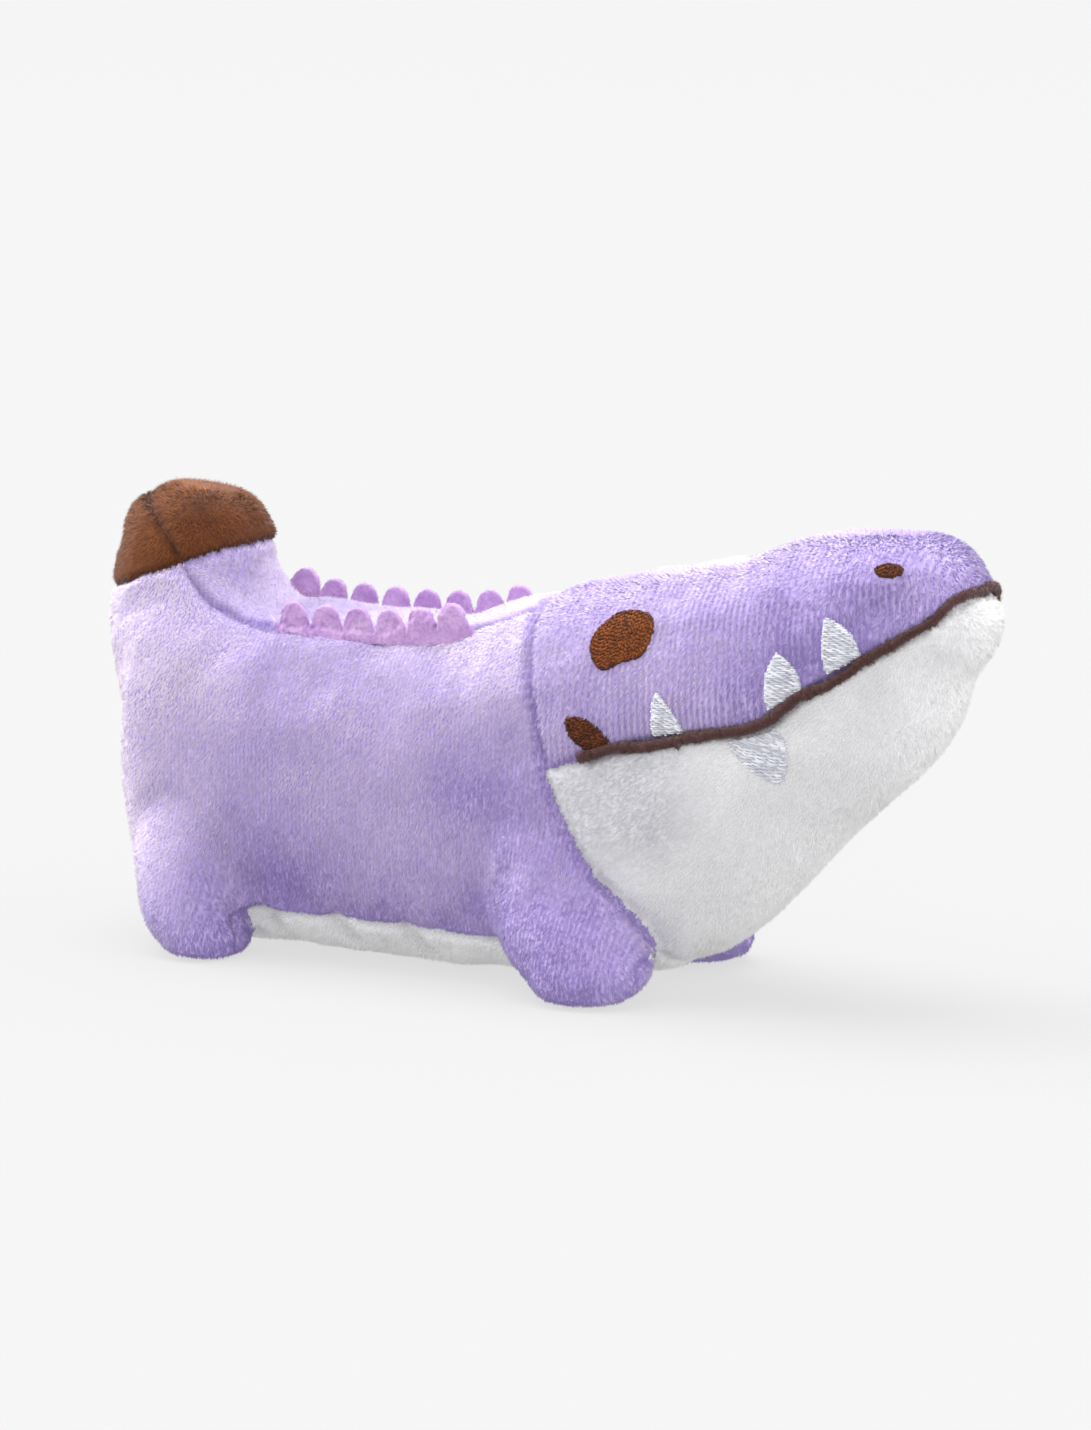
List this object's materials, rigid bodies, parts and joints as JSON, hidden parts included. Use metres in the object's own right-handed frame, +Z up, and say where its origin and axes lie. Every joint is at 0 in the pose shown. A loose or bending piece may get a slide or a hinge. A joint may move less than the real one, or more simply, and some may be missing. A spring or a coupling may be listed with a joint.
{
  "type": "stuffed dinosaur",
  "caption": "Small plush crocodile-like dinosaur on stub legs, with a raised tail, long snout, embroidered face and felt back petals, for play and display.",
  "frame": {"origin": "bottom centre of the toy's box, on the surface its four soles stand on", "axes": "+X towards the snout, +Y to the toy's left, +Z up"},
  "size_m": [0.1957, 0.0666, 0.0935],
  "materials": {
    "lilac_pile": "soft short pile, vertical streaks",
    "lilac_knit": "short pile on a fine rib knit",
    "lilac_back": "soft short pile",
    "white_pile": "soft white pile",
    "brown_pile": "soft brown pile, brushed",
    "felt": "matt felt",
    "brown_thread": "satin embroidery thread",
    "white_thread": "satin embroidery thread",
    "dark_piping": "fuzzy chenille cord",
    "sewing_thread": "fine thread",
    "fibre": "white polyester fibre"
  },
  "bodies": {
    "root": {"side_panel_right": "lilac_pile", "side_panel_left": "lilac_pile", "back_panel": "lilac_back", "head_panel": "lilac_knit", "chin_panel": "white_pile", "belly_panel": "white_pile", "leg_lining_front_right": "lilac_pile", "leg_lining_front_left": "lilac_pile", "leg_lining_rear_right": "lilac_pile", "leg_lining_rear_left": "lilac_pile", "tail_tip_front": "brown_pile", "tail_tip_right": "brown_pile", "tail_tip_left": "brown_pile", "mouth_piping": "dark_piping", "eye_right": "brown_thread", "mouth_corner_right": "brown_thread", "nostril_right": "brown_thread", "upper_teeth_right": "white_thread", "lower_tooth_right": "white_thread", "back_trim_right": "felt", "eye_left": "brown_thread", "mouth_corner_left": "brown_thread", "nostril_left": "brown_thread", "upper_teeth_left": "white_thread", "lower_tooth_left": "white_thread", "back_trim_left": "felt", "belly_quilting_thread": "sewing_thread", "closing_stitches": "sewing_thread", "torso_fibre": "fibre", "head_fibre": "fibre", "tail_fibre": "fibre", "leg_fibre_front_right": "fibre", "leg_fibre_front_left": "fibre", "leg_fibre_rear_right": "fibre", "leg_fibre_rear_left": "fibre"}
  },
  "joints": []
}
